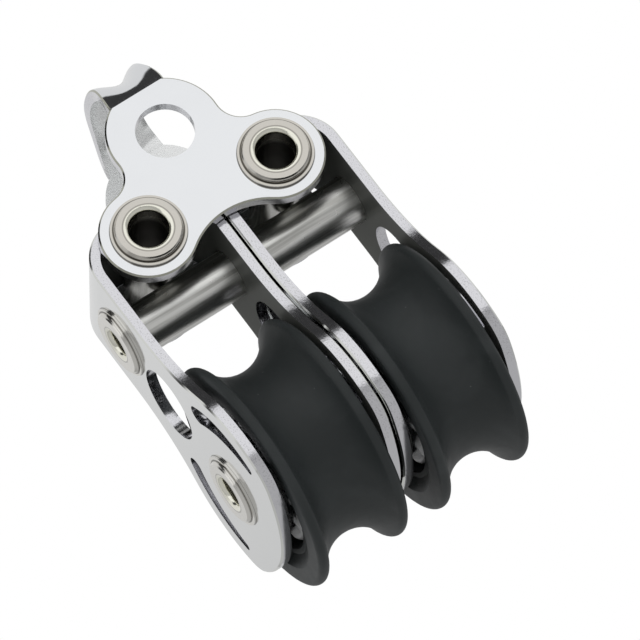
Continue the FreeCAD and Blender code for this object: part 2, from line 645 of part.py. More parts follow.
def skin_contour(shape):
    """Numbers of the edges where the hairpin's outside meets the strap's cut sides."""
    skin = [face for face in shape.Faces if is_skin(face)]
    borders = [edge for face in skin for edge in face.OuterWire.Edges]
    numbers = []
    for number, edge in enumerate(shape.Edges, start=1):
        if sum(edge.isSame(border) for border in borders) == 1:
            numbers.append(number)
    return numbers


def side_strap(side, sign):
    """Hairpin strap over a head spacer: its outer leg is a cheek, its inner leg backs the other's."""
    edge_view = padded_body("hairpin_" + side, "XZ_Plane", draw_hairpin, "2 * dims.cheek_radius + 2 * dims.side_plate")
    face_view = padded_body("face_" + side, "YZ_Plane", draw_cheek, "2 * dims.leg_gap")
    blank = DOC.addObject("Part::MultiCommon", "blank_" + side)
    blank.Shapes = [edge_view, face_view]
    DOC.recompute()
    bevel = size("edge_break")
    strap = DOC.addObject("Part::Chamfer", "side_strap_" + side)
    strap.Base = blank
    strap.Edges = [(number, bevel, bevel) for number in skin_contour(blank.Shape)]
    strap.Label = "side_strap_" + side
    set_down(strap, sign + "derived.sheave_x", AXLE_Z)
    return strap


def sheave(side, sign):
    """Grooved wheel with two ball tracks in its bore."""
    corners, bends = mirrored([
        Corner("rim_join_x", "rim_join_radius"),
        Corner("half_sheave", "rim_centre_radius"),
        Corner("half_sheave", "dish_radius"),
        Corner("mouth_x", "lip_radius"),
        Corner("mouth_x", "track_mouth_radius"),
        Corner("ball_row_offset", "track_mouth_radius"),
        Corner("land_x", "track_land_radius"),
    ], {0: Bend("rim_round", -1), 5: Bend("track_round", 1)})
    bends[len(corners) - 1] = Bend("groove_radius", 1)
    body = turned_body("sheave_" + side, "XZ_Plane", corners, bends)
    set_down(body, sign + "derived.sheave_x", AXLE_Z)
    return body


def inner_race(side, half, sign, mirror):
    """Half of a sheave's inner race: one ball track, a shoulder and a boss against the leg."""
    corners = [
        Corner("0", "race_bore"),
        Corner("race_length", "race_bore"),
        Corner("race_length", "race_boss_radius"),
        Corner("shoulder_end", "race_boss_radius"),
        Corner("shoulder_end", "race_shoulder_radius"),
        Corner("shoulder_x", "race_shoulder_radius"),
        Corner("ball_row_offset", "track_floor_radius"),
        Corner("0", "track_floor_radius"),
    ]
    bends = {5: Bend("track_round", -1)}
    if mirror:
        corners = [corner if corner.x == "0" else Corner("-" + corner.x, corner.y) for corner in corners]
        bends = {5: Bend("track_round", 1)}
    body = turned_body("race_" + side + "_" + half, "XZ_Plane", corners, bends)
    set_down(body, sign + "derived.sheave_x", AXLE_Z)
    return body


def balls(side, sign):
    """Two rows of loose balls round a sheave's inner race."""
    members = []
    for row, row_sign in (("near", "-"), ("far", "")):
        for number in range(BALLS_PER_ROW):
            ball = DOC.addObject("Part::Sphere", f"ball_{side}_{row}_{number}")
            bind(ball, "Radius", "dims.ball_radius")
            turn = f"{number * 2 * HALF_TURN / BALLS_PER_ROW} deg"
            ball.Placement = FreeCAD.Placement(Point(0, 0, 0), FreeCAD.Rotation(Point(0, 1, 0), 90))
            bind(ball, "Placement.Base.x", row_sign + "dims.ball_row_offset")
            bind(ball, "Placement.Base.y", f"dims.ball_pitch_radius * sin({turn})")
            bind(ball, "Placement.Base.z", f"dims.ball_pitch_radius * cos({turn})")
            members.append(ball)
    group = DOC.addObject("Part::Compound", "balls_" + side)
    group.Links = members
    group.Label = "balls_" + side
    set_down(group, sign + "derived.sheave_x", AXLE_Z)
    return group


def tube_rivet(label, plane, tube, bore, grip_name, head):
    """Tubular rivet with a rolled head at each end, seated on a washer."""
    seat = label + "_seat"
    ring_x = label + "_ring"
    step_x = label + "_step"
    mouth_end = label + "_mouth_end"
    mouth_edge = label + "_mouth_edge"
    add_derived(seat, f"{grip_name} + {cell(head.washer)}", "seat of the rolled head")
    add_derived(ring_x, f"{seat} + {cell(head.roll)}", "flat ring of the rolled head")
    add_derived(step_x, f"{ring_x} - {cell(head.step)}", "foot of the step round the ring")
    add_derived(mouth_end, f"{ring_x} - dims.mouth_round", "end of the plain bore")
    add_derived(mouth_edge, f"{cell(bore)} + dims.mouth_round", "edge of the rounded mouth")
    corners, bends = mirrored([
        Corner(seat, tube),
        Corner(seat, "rolled_head_radius"),
        Corner(step_x, "step_radius"),
        Corner(ring_x, "ring_radius"),
        Corner(ring_x, mouth_edge),
        Corner(mouth_end, bore),
    ], {1: Bend("lip_round", -1), 4: Bend("mouth_round", -1)})
    return turned_body(label, plane, corners, bends)


def add_derived(alias, formula, meaning):
    """Append one worked-out dimension to its sheet."""
    number = str(len(DERIVED) + 1)
    DERIVED.append((alias, formula, meaning))
    derived.set("A" + number, alias)
    derived.set("B" + number, "=" + formula)
    derived.set("C" + number, meaning)
    derived.setAlias("B" + number, alias)
    DOC.recompute()


def washers(label, plane, tube, seat_name, head):
    """Two equal washers, one under each lip of a rivet."""
    inner = label + "_bore"
    outer = label + "_outer"
    add_derived(inner, cell(tube) + " + dims.tube_fit", "bore of a washer")
    add_derived(outer, f"{seat_name} + {cell(head.washer)}", "outer face of a washer")
    corners = [
        Corner(seat_name, inner),
        Corner(outer, inner),
        Corner(outer, head.washer_radius),
        Corner(seat_name, head.washer_radius),
    ]
    pair = []
    for end, flip in (("a", False), ("b", True)):
        placed = [Corner("-" + corner.x, corner.y) for corner in corners] if flip else corners
        pair.append(turned_body(label + "_" + end, plane, placed, {}))
    group = DOC.addObject("Part::Compound", label)
    group.Links = pair
    group.Label = label
    return group


def spacer(label, plane, tube, outer, half_length):
    """Plain tube over a rivet, between two plates."""
    inner = label + "_bore"
    add_derived(inner, cell(tube) + " + dims.tube_fit", "bore of a spacer")
    corners = [
        Corner("-" + half_length, inner),
        Corner(half_length, inner),
        Corner(half_length, outer),
        Corner("-" + half_length, outer),
    ]
    return turned_body(label, plane, corners, {})


def head_fasteners():
    """Two rivets through the arms, each with a spacer that the side strap hangs on."""
    add_derived("half_arm_gap", "dims.arm_gap / 2", "inner face of an arm")
    made = []
    for side, sign in SIDES:
        rivet = tube_rivet("head_rivet_" + side, "YZ_Plane", "head_tube_radius", "head_bore_radius",
                           "arm_outer", HEAD_RIVET)
        pair = washers("head_washers_" + side, "YZ_Plane", "head_tube_radius", "arm_outer", HEAD_RIVET)
        barrel = spacer("head_spacer_" + side, "YZ_Plane", "head_tube_radius", "head_spacer_radius", "half_arm_gap")
        for piece in (rivet, pair, barrel):
            set_down(piece, sign + "derived.rivet_x", RIVETS_Z)
            made.append(piece)
    return made


def crossbar_fasteners():
    """One long rivet through all four legs, with a spacer inside each side strap."""
    rivet = tube_rivet("crossbar_rivet", "XZ_Plane", "crossbar_tube_radius", "crossbar_bore_radius",
                       "cheek_outer", CROSSBAR)
    pair = washers("crossbar_washers", "XZ_Plane", "crossbar_tube_radius", "cheek_outer", CROSSBAR)
    made = [rivet, pair]
    for piece in made:
        set_down(piece, None, CROSSBAR_Z)
    for side, sign in SIDES:
        tube = spacer("crossbar_spacer_" + side, "XZ_Plane", "crossbar_tube_radius",
                      "crossbar_spacer_radius", "race_length")
        set_down(tube, sign + "derived.sheave_x", CROSSBAR_Z)
        made.append(tube)
    return made


def axle_fasteners():
    """The axle is a third long rivet, with a washer at each end."""
    rivet = tube_rivet("axle_rivet", "XZ_Plane", "axle_tube_radius", "axle_bore_radius", "cheek_outer", AXLE)
    pair = washers("axle_washers", "XZ_Plane", "axle_tube_radius", "cheek_outer", AXLE)
    for piece in (rivet, pair):
        set_down(piece, None, AXLE_Z)
    return [rivet, pair]


def build():
    """Make every piece and return them in the order of assembly."""
    pieces = [head_strap()]
    pieces += head_fasteners()
    pieces += crossbar_fasteners()
    pieces += axle_fasteners()
    for side, sign in SIDES:
        pieces.append(side_strap(side, sign))
        pieces.append(inner_race(side, "outer", sign, side == "left"))
        pieces.append(inner_race(side, "inner", sign, side == "right"))
        pieces.append(balls(side, sign))
        pieces.append(sheave(side, sign))
    return pieces


def export(pieces):
    """Check every object and shape, then write one STEP file for each piece."""
    DOC.recompute()
    for thing in DOC.Objects:
        if "Invalid" in thing.State or "Error" in thing.State:
            raise RuntimeError(thing.Label + " failed: " + str(thing.State))
    for piece in pieces:
        shape = piece.Shape
        if shape.isNull() or not shape.isValid() or not shape.Solids:
            raise RuntimeError(piece.Label + " has no valid solid")
    os.makedirs("parts", exist_ok=True)
    for piece in pieces:
        piece.Shape.exportStep(os.path.join("parts", piece.Label + ".step"))
        print(piece.Label, len(piece.Shape.Solids), round(piece.Shape.Volume, 3), piece.Shape.BoundBox)


export(build())
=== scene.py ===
"""Looks of a small double block: polished straps, rolled rivets and black ball-bearing sheaves."""

import logging
import math
from dataclasses import dataclass
from enum import Enum

import bpy
import numpy as np
from mathutils import Matrix, Vector


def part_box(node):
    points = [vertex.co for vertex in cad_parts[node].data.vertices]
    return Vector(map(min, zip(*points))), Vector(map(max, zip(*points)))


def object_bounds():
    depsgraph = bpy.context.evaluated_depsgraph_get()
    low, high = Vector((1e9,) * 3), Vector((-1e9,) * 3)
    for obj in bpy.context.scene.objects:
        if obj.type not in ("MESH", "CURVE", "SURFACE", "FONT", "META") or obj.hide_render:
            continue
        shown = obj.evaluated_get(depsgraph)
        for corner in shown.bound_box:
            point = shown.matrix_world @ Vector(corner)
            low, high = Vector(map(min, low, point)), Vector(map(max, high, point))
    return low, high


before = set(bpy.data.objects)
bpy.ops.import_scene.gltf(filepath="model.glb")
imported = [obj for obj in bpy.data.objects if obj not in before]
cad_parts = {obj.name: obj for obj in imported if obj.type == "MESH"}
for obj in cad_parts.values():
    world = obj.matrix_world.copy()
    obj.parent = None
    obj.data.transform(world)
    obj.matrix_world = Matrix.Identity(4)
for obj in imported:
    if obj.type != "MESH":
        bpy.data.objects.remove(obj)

LOG = logging.getLogger("double_block")
MM = 0.001
CAD_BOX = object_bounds()
SIDES = ("left", "right")

Colour = tuple[float, float, float]
Opaque = tuple[float, float, float, float]
Place = tuple[float, float, float]
Span = tuple[float, float]
Socket = bpy.types.NodeSocket
Material = bpy.types.Material


class Way(Enum):
    """Direction of an axis in the part's frame."""

    X = (1.0, 0.0, 0.0)
    Y = (0.0, 1.0, 0.0)
    Z = (0.0, 0.0, 1.0)


class Kind(Enum):
    """Type of a shared effect's input."""

    NUMBER = "NodeSocketFloat"
    VECTOR = "NodeSocketVector"


@dataclass(frozen=True)
class Noise:
    """Noise with so many waves in a metre, and finer detail inside it."""

    scale: float = 1.0
    detail: float = 2.0
    roughness: float = 0.5
    distortion: float = 0.0


@dataclass(frozen=True)
class Specks:
    """Scattered specks: how many cells in a metre, and the share of them that hold one."""

    scale: float
    share: float

    def sockets(self) -> dict[str, float]:
        """The values that the dust effect takes."""
        return {"Scale": self.scale, "Share": self.share}


def grey(level: float) -> Opaque:
    """An opaque grey of this level."""
    return (level, level, level, 1.0)


def opaque(tone: Colour, shade: float = 1.0) -> Opaque:
    """A tone, or a darker shade of it, as an opaque colour."""
    return (*(channel * shade for channel in tone), 1.0)


def join(tree: bpy.types.NodeTree, node: bpy.types.Node, sockets: dict) -> None:
    """Fill or join the inputs of a node.

    Args:
        tree: the tree that holds the node.
        node: the node.
        sockets: a value or an output socket for each named or numbered input.
    """
    for key, value in sockets.items():
        if isinstance(value, Socket):
            tree.links.new(value, node.inputs[key])
        else:
            node.inputs[key].default_value = value


class Tree:
    """A shader node tree that is written one joined node at a time."""

    def __init__(self, tree: bpy.types.NodeTree) -> None:
        """Keep the tree and clear what it holds."""
        self.tree = tree
        self.tree.nodes.clear()

    def add(self, kind: str, sockets: dict | None = None, **settings: object) -> bpy.types.Node:
        """Add a node, set its properties, and fill or join its inputs.

        Args:
            kind: the node's type, without the prefix ShaderNode.
            sockets: a value or an output socket for each named or numbered input.
            settings: the node's own properties, such as operation.

        Returns:
            The new node.
        """
        node = self.tree.nodes.new("ShaderNode" + kind)
        for name, value in settings.items():
            setattr(node, name, value)
        join(self.tree, node, sockets or {})
        return node

    def math(self, operation: str, *values: object) -> Socket:
        """The result of one number operation."""
        return self.add("Math", dict(enumerate(values)), operation=operation).outputs[0]

    def vector(self, operation: str, *values: object) -> bpy.types.Node:
        """A vector operation; Vector and Value are its outputs."""
        return self.add("VectorMath", dict(enumerate(values)), operation=operation)

    def dot(self, first: object, second: object) -> Socket:
        """How far one vector reaches along the other."""
        return self.vector("DOT_PRODUCT", first, second).outputs["Value"]

    def height(self, place: Socket) -> Socket:
        """Height of a place in the part's frame."""
        return self.add("SeparateXYZ", {"Vector": place}).outputs["Z"]

    def band(self, value: object, low: float, high: float, to_low: float = 0.0,
             to_high: float = 1.0) -> Socket:
        """A smooth step of a value, put out between two levels.

        Args:
            value: the value.
            low: where the step starts.
            high: where it ends.
            to_low: the level before it.
            to_high: the level after it.

        Returns:
            The level.
        """
        sockets = {"Value": value, "From Min": low, "From Max": high,
                   "To Min": to_low, "To Max": to_high}
        return self.add("MapRange", sockets, interpolation_type="SMOOTHSTEP").outputs["Result"]

    def noise(self, place: Socket, noise: Noise, scale: Socket | None = None) -> Socket:
        """Level of a noise at a place.

        Args:
            place: where the noise is read.
            noise: the noise.
            scale: a socket that gives its scale instead of its own.

        Returns:
            The level, about 0.5 on average.
        """
        sockets = {"Vector": place, "Scale": noise.scale if scale is None else scale,
                   "Detail": noise.detail, "Roughness": noise.roughness,
                   "Distortion": noise.distortion}
        return self.add("TexNoise", sockets).outputs[0]

    def reach(self, place: object, centre: object, axis: object) -> tuple[Socket, Socket]:
        """How far a place is from an axis: the length of the cross product of its way and the axis.

        Args:
            place: the place.
            centre: a point on the axis.
            axis: the axis, of length 1.

        Returns:
            The distance from the axis, and the way from the centre.
        """
        from_centre = self.vector("SUBTRACT", place, centre).outputs[0]
        across = self.vector("CROSS_PRODUCT", from_centre, axis).outputs[0]
        return self.vector("LENGTH", across).outputs["Value"], from_centre

    def mix(self, share: object, first: object, second: object) -> Socket:
        """First and second colour mixed by a share; inputs 6 and 7 and output 2 are the colours."""
        return self.add("Mix", {"Factor": share, 6: first, 7: second}, data_type="RGBA").outputs[2]

    def level(self, share: object, first: object, second: object) -> Socket:
        """First and second number mixed by a share; inputs 2 and 3 and output 0 are the numbers."""
        return self.add("Mix", {"Factor": share, 2: first, 3: second}, data_type="FLOAT").outputs[0]

    def tint(self, colour: object, mask: Socket, share: float, tone: Colour) -> Socket:
        """A colour mixed towards a tone by a share of a mask."""
        return self.mix(self.math("MULTIPLY", mask, share), colour, opaque(tone))

    def raised(self, base: object, mask: Socket, rise: float) -> Socket:
        """A number raised by so much where a mask is 1."""
        return self.math("MULTIPLY_ADD", mask, rise, base)


class Surface:
    """A new material with its shader, and the coordinates that its patterns read."""

    def __init__(self, name: str) -> None:
        """Make the material with an empty Principled shader.

        Args:
            name: the material's name.
        """
        self.material = bpy.data.materials.new(name)
        self.material.use_nodes = True
        self.tree = Tree(self.material.node_tree)
        self.shader = self.tree.add("BsdfPrincipled")
        self.tree.add("OutputMaterial", {"Surface": self.shader.outputs[0]})
        coordinates = self.tree.add("TexCoord")
        self.place = coordinates.outputs["Object"]
        self.normal = coordinates.outputs["Normal"]

    def set(self, sockets: dict) -> None:
        """Fill or join inputs of the shader."""
        join(self.tree.tree, self.shader, sockets)

    def bump(self, heights: list[tuple[Socket, float]]) -> None:
        """Stack bumps on the shader's normal.

        Args:
            heights: the height socket of each bump, with its depth in metres.
        """
        below = None
        for height, depth in heights:
            sockets = {"Height": height, "Distance": depth, "Strength": 1.0}
            if below is not None:
                sockets["Normal"] = below
            below = self.tree.add("Bump", sockets).outputs[0]
        self.set({"Normal": below})


class Effect:
    """A shader node group that several finishes share; it always reads a place."""

    def __init__(self, name: str, inputs: dict[str, Kind], outputs: tuple[str, ...]) -> None:
        """Make the group with its named sockets.

        Args:
            name: the group's name.
            inputs: type of each input other than the place.
            outputs: name of each output, which are all numbers.
        """
        self.group = bpy.data.node_groups.new(name, "ShaderNodeTree")
        self.tree = Tree(self.group)
        for label, kind in {"Vector": Kind.VECTOR, **inputs}.items():
            self.group.interface.new_socket(label, in_out="INPUT", socket_type=kind.value)
        for label in outputs:
            self.group.interface.new_socket(label, in_out="OUTPUT", socket_type=Kind.NUMBER.value)
        self.given = self.group.nodes.new("NodeGroupInput").outputs
        self.place = self.given["Vector"]
        self.result = self.group.nodes.new("NodeGroupOutput").inputs

    def put(self, label: str, value: Socket) -> None:
        """Join a socket to one output of the group."""
        self.group.links.new(value, self.result[label])

    def use(self, surface: Surface, sockets: dict) -> bpy.types.Node:
        """Place the group in a material, on its own coordinates unless another Vector is given."""
        return surface.tree.add("Group", {"Vector": surface.place, **sockets}, node_tree=self.group)


def brushing() -> Effect:
    """Fine drawn-out grain: noise squeezed along the two directions across the grain.

    Returns:
        The effect, with the grain's height and its broader streaks.
    """
    broad_share = 0.22
    streak = (0.38, 0.66)
    effect = Effect("brushing", {"Stretch": Kind.VECTOR, "Fineness": Kind.NUMBER},
                    ("Height", "Streaks"))
    tree = effect.tree
    fineness = effect.given["Fineness"]
    stretched = tree.vector("MULTIPLY", effect.place, effect.given["Stretch"]).outputs[0]
    broad = tree.noise(stretched, Noise(), tree.math("MULTIPLY", fineness, broad_share))
    effect.put("Height", tree.noise(stretched, Noise(detail=4.0, roughness=0.6), fineness))
    effect.put("Streaks", tree.band(broad, *streak))
    return effect


def handling() -> Effect:
    """Faint cloudy marks of handling, with a finer blotch inside them.

    Returns:
        The effect, with the cloud and the blotch.
    """
    finer = 5.0
    cloudy = (0.42, 0.68)
    effect = Effect("handling", {"Scale": Kind.NUMBER}, ("Cloud", "Blotch"))
    tree = effect.tree
    scale = effect.given["Scale"]
    cloud = tree.noise(effect.place, Noise(detail=3.0, distortion=0.6), scale)
    finer_scale = tree.math("MULTIPLY", scale, finer)
    blotch = tree.noise(effect.place, Noise(detail=5.0, roughness=0.65), finer_scale)
    effect.put("Cloud", tree.band(cloud, *cloudy))
    effect.put("Blotch", blotch)
    return effect


def turning() -> Effect:
    """Rings about an axis.

    Their height is the sine of the distance from it and along it, over the pitch, shaken by noise.

    Returns:
        The effect, with the rings' height, and the place's reach from the axis and way along it.
    """
    shake, tremor = 4.0, Noise(900.0)
    effect = Effect("turning", {"Centre": Kind.VECTOR, "Axis": Kind.VECTOR, "Pitch": Kind.NUMBER},
                    ("Height", "Reach", "Along"))
    tree = effect.tree
    reach, from_centre = tree.reach(effect.place, effect.given["Centre"], effect.given["Axis"])
    along = tree.dot(from_centre, effect.given["Axis"])
    phase = tree.math("DIVIDE", tree.math("ADD", reach, along), effect.given["Pitch"])
    shaken = tree.math("MULTIPLY_ADD", tree.noise(effect.place, tremor), shake, phase)
    effect.put("Height", tree.math("MULTIPLY_ADD", tree.math("SINE", shaken), 0.5, 0.5))
    effect.put("Reach", reach)
    effect.put("Along", tree.math("ABSOLUTE", along))
    return effect


def plate_wall() -> Effect:
    """Tells a stamped plate's cut walls from its rolled faces.

    On the straight part of a strap, a wall's normal has no share along the plate's own normal. On
    its bend the wall's normal lies along the strap's width instead. Bend Height divides the two. A
    bevelled edge's normal lies half way between.

    Returns:
        The effect, with the wall and the edge.
    """
    straight_wall, bend_wall = (0.6, 0.2), (0.5, 0.9)
    bevel, bevel_width = math.sqrt(0.5), (0.10, 0.05)
    effect = Effect("plate_wall", {"Normal": Kind.VECTOR, "Face": Kind.VECTOR, "Width": Kind.VECTOR,
                                   "Bend Height": Kind.NUMBER}, ("Wall", "Edge"))
    tree = effect.tree
    face_share = tree.math("ABSOLUTE", tree.dot(effect.given["Normal"], effect.given["Face"]))
    width_share = tree.math("ABSOLUTE", tree.dot(effect.given["Normal"], effect.given["Width"]))
    in_bend = tree.math("GREATER_THAN", tree.height(effect.place), effect.given["Bend Height"])
    effect.put("Wall", tree.level(in_bend, tree.band(face_share, *straight_wall),
                                  tree.band(width_share, *bend_wall)))
    share = tree.level(in_bend, face_share, width_share)
    off = tree.math("ABSOLUTE", tree.math("SUBTRACT", share, bevel))
    effect.put("Edge", tree.band(off, *bevel_width))
    return effect


def hollow() -> Effect:
    """Tells a bent strap's inside from its outside: there the normal points to the middle.

    The middle is a line in the bend and a plane below it. So below it, only the shares of the
    normal and of the way from the middle along the plate's own normal count. Above it, the rise
    over it counts too.

    Returns:
        The effect, with the inside.
    """
    depth = (-0.8 * MM, -1.6 * MM)
    effect = Effect("hollow", {"Normal": Kind.VECTOR, "Face": Kind.VECTOR, "Middle": Kind.VECTOR},
                    ("Inside",))
    tree = effect.tree
    away = tree.vector("SUBTRACT", effect.place, effect.given["Middle"]).outputs[0]
    sideways = tree.vector("MULTIPLY", away, effect.given["Face"]).outputs[0]
    rise = tree.add("CombineXYZ", {"Z": tree.math("MAXIMUM", tree.height(away), 0.0)}).outputs[0]
    outward = tree.dot(tree.vector("ADD", sideways, rise).outputs[0], effect.given["Normal"])
    effect.put("Inside", tree.band(outward, *depth))
    return effect


def crease() -> Effect:
    """The crease where a sheet is folded over: a slope from the bend line, fading towards the top.

    The height is the square of what is left of the way from the bend line to the fold's top.

    Returns:
        The effect, with the crease's height.
    """
    effect = Effect("crease", {"Foot": Kind.NUMBER, "Top": Kind.NUMBER}, ("Height",))
    tree = effect.tree
    sockets = {"Value": tree.height(effect.place), "From Min": effect.given["Foot"],
               "From Max": effect.given["Top"], "To Min": 1.0, "To Max": 0.0}
    left = tree.add("MapRange", sockets).outputs["Result"]
    effect.put("Height", tree.math("MULTIPLY", left, left))
    return effect


def rim_line() -> Effect:
    """A thin ring about an axis, for a dark line at an edge: painted contact shade and dirt.

    Its strength is how near the distance from the axis is to a radius.

    Returns:
        The effect, with the line.
    """
    half_width = (0.10 * MM, 0.03 * MM)
    effect = Effect("rim_line", {"Centre": Kind.VECTOR, "Axis": Kind.VECTOR, "Radius": Kind.NUMBER},
                    ("Line",))
    tree = effect.tree
    reach, _ = tree.reach(effect.place, effect.given["Centre"], effect.given["Axis"])
    off = tree.math("ABSOLUTE", tree.math("SUBTRACT", reach, effect.given["Radius"]))
    effect.put("Line", tree.band(off, *half_width))
    return effect


def dust() -> Effect:
    """Scattered small specks: the nearness to random points, kept for a few of the cells.

    Returns:
        The effect, with the specks.
    """
    size = (0.10, 0.04)
    effect = Effect("dust", {"Scale": Kind.NUMBER, "Share": Kind.NUMBER}, ("Speck",))
    tree = effect.tree
    cells = tree.add("TexVoronoi", {"Vector": effect.place, "Scale": effect.given["Scale"]})
    pick = tree.add("SeparateXYZ", {"Vector": cells.outputs["Color"]}).outputs[0]
    chosen = tree.math("LESS_THAN", pick, effect.given["Share"])
    effect.put("Speck", tree.math("MULTIPLY", tree.band(cells.outputs["Distance"], *size), chosen))
    return effect


@dataclass(frozen=True)
class Effects:
    """The shared effects, each made once."""

    brushing: Effect
    handling: Effect
    turning: Effect
    plate_wall: Effect
    hollow: Effect
    crease: Effect
    rim_line: Effect
    dust: Effect


def make_effects() -> Effects:
    """Make every shared effect."""
    return Effects(brushing(), handling(), turning(), plate_wall(), hollow(), crease(), rim_line(),
                   dust())


@dataclass(frozen=True)
class Rim:
    """A circle on a plate's face, such as a washer's edge."""

    centre: Place
    radius: float


@dataclass(frozen=True)
class Bent:
    """How a strap lies: its faces' normal, its width and the middle of its bend.

    A fold is creased up to its crease top, and cut walls within the calm circle are smooth.
    """

    face: Way
    width: Way
    middle: Place
    crease_top: float = 0.0
    calm: Rim | None = None


@dataclass(frozen=True)
class SheetMasks:
    """Where a strap is cut, where that cut is torn, and where it is bevelled or faces inwards."""

    wall: Socket
    torn: Socket
    edge: Socket
    inside: Socket


@dataclass(frozen=True)
class SheetSteel:
    """Polished stainless sheet with a few fine marks, duller inside with painted shade on the side
    straps' inner faces, a thin dark ring of painted contact shade and dirt round each washer, and
    speckled where cut.
    """

    tone: Colour = (0.84, 0.855, 0.875)
    wall_tone: Colour = (0.72, 0.72, 0.75)
    speck_tone: Colour = (0.20, 0.20, 0.21)
    # painted shade: a dark tone on the side straps' inner faces; the head's own inside tone is pale
    inside_tone_and_shade: Colour = (0.112, 0.116, 0.107)
    edge_tone: Colour = (0.80, 0.81, 0.78)
    # painted contact shade and dirt: a thin dark ring round each washer
    rim_shade_and_dirt_tone: Colour = (0.10, 0.10, 0.09)
    fleck_tone: Colour = (0.42, 0.43, 0.43)
    cloud_shade: float = 0.95
    cloud_share: float = 0.25
    fleck_share: float = 0.30
    rim_share: float = 0.85
    speck_share: float = 0.42
    edge_share: float = 0.9
    roughness: float = 0.07
    streak_roughness: float = 0.02
    wall_roughness: float = 0.12
    inside_roughness: float = 0.28
    inside_metal: float = 0.2
    gloss: float = 0.0
    grain_fineness: float = 9000.0
    grain_stretch: Place = (1.0, 1.0, 0.12)
    grain_depth: float = 0.0002 * MM
    mark_scale: float = 130.0
    flecks: Specks = Specks(900.0, 0.035)
    scratches: Specks = Specks(1500.0, 0.05)
    scratch_stretch: Place = (1.0, 0.5, 0.035)
    chatter: Noise = Noise(15000.0, 2.0, 0.6)
    chatter_stretch: Place = (0.7, 0.7, 0.45)
    chatter_band: Span = (0.54, 0.68)
    calm_edge: float = 0.2 * MM
    waves: Noise = Noise(260.0, 1.0)
    wave_depth: float = 0.004 * MM
    mottle: Noise = Noise(3600.0, 3.0, 0.6)
    mottle_depth: float = 0.008 * MM
    crease_depth: float = 0.53 * MM

    def masks(self, surface: Surface, effects: Effects, bent: Bent) -> SheetMasks:
        """Tell the walls, edges and inner faces of one strap.

        Args:
            surface: the strap's material.
            effects: the shared effects.
            bent: how the strap lies and where it is bent.

        Returns:
            The masks.
        """
        tree = surface.tree
        face = bent.face.value
        plate = effects.plate_wall.use(surface, {"Normal": surface.normal, "Face": face,
                                                 "Width": bent.width.value,
                                                 "Bend Height": bent.middle[2]})
        inside = effects.hollow.use(surface, {"Normal": surface.normal, "Face": face,
                                              "Middle": bent.middle})
        wall = torn = plate.outputs["Wall"]
        if bent.calm:
            reach, _ = tree.reach(surface.place, bent.calm.centre, face)
            outside = tree.band(reach, bent.calm.radius, bent.calm.radius + self.calm_edge)
            torn = tree.math("MULTIPLY", wall, outside)
        return SheetMasks(wall, torn, plate.outputs["Edge"], inside.outputs["Inside"])

    def colour(self, surface: Surface, effects: Effects, face: Way, rims: tuple[Rim, ...],
               masks: SheetMasks) -> Socket:
        """Colour one strap, from its clean faces to the dirt, the painted contact shade round the
        washers, the painted shade on the side straps' inner faces, the walls and the bevels on top.

        Args:
            surface: the strap's material.
            effects: the shared effects.
            face: normal of the strap's faces.
            rims: the washers' edges on the faces.
            masks: where the strap is cut, torn, bevelled and turned inwards.

        Returns:
            The colour.
        """
        tree = surface.tree
        cloud = effects.handling.use(surface, {"Scale": self.mark_scale}).outputs["Cloud"]
        flecks = effects.dust.use(surface, self.flecks.sockets()).outputs["Speck"]
        along = tree.vector("MULTIPLY", surface.place, self.scratch_stretch).outputs[0]
        scratched = {"Vector": along, **self.scratches.sockets()}
        scratches = effects.dust.use(surface, scratched).outputs["Speck"]
        colour = tree.mix(tree.math("MULTIPLY", cloud, self.cloud_share), opaque(self.tone),
                          opaque(self.tone, self.cloud_shade))
        flecked = tree.math("MAXIMUM", flecks, scratches)
        colour = tree.tint(colour, flecked, self.fleck_share, self.fleck_tone)
        # each washer's edge gets a thin dark ring of painted contact shade and dirt
        for rim in rims:
            line = effects.rim_line.use(surface, {"Centre": rim.centre, "Axis": face.value,
                                                  "Radius": rim.radius}).outputs["Line"]
            colour = tree.tint(colour, line, self.rim_share, self.rim_shade_and_dirt_tone)
        # inner faces: painted shade on the side straps, a pale tone on the head
        colour = tree.mix(masks.inside, colour, opaque(self.inside_tone_and_shade))
        colour = tree.mix(masks.wall, colour, opaque(self.wall_tone))
        stretched = tree.vector("MULTIPLY", surface.place, self.chatter_stretch).outputs[0]
        chatter = tree.band(tree.noise(stretched, self.chatter), *self.chatter_band)
        specks = tree.math("MULTIPLY", chatter, tree.math("MULTIPLY", masks.torn, self.speck_share))
        colour = tree.mix(specks, colour, opaque(self.speck_tone))
        return tree.tint(colour, masks.edge, self.edge_share, self.edge_tone)

    def material(self, name: str, effects: Effects, bent: Bent, rims: tuple[Rim, ...]) -> Material:
        """Make the finish for one strap.

        Args:
            name: the material's name.
            effects: the shared effects.
            bent: how the strap lies and where it is bent.
            rims: the washers' edges on the strap's faces.

        Returns:
            The material.
        """
        surface = Surface(name)
        tree = surface.tree
        masks = self.masks(surface, effects, bent)
        grain = effects.brushing.use(surface, {"Stretch": self.grain_stretch,
                                               "Fineness": self.grain_fineness})
        rough = tree.raised(self.roughness, grain.outputs["Streaks"], self.streak_roughness)
        rough = tree.raised(rough, masks.inside, self.inside_roughness - self.roughness)
        rough = tree.raised(rough, masks.wall, self.wall_roughness - self.roughness)
        metal = tree.raised(1.0, masks.inside, self.inside_metal - 1.0)
        surface.set({"Base Color": self.colour(surface, effects, bent.face, rims, masks),
                     "Roughness": rough, "Metallic": metal, "Specular IOR Level": self.gloss})
        mottled = tree.math("MULTIPLY", tree.noise(surface.place, self.mottle), masks.torn)
        heights = [(tree.noise(surface.place, self.waves), self.wave_depth),
                   (grain.outputs["Height"], self.grain_depth), (mottled, self.mottle_depth)]
        if bent.crease_top:
            fold = effects.crease.use(surface, {"Foot": bent.middle[2], "Top": bent.crease_top})
            heights.append((fold.outputs["Height"], self.crease_depth))
        surface.bump(heights)
        return surface.material


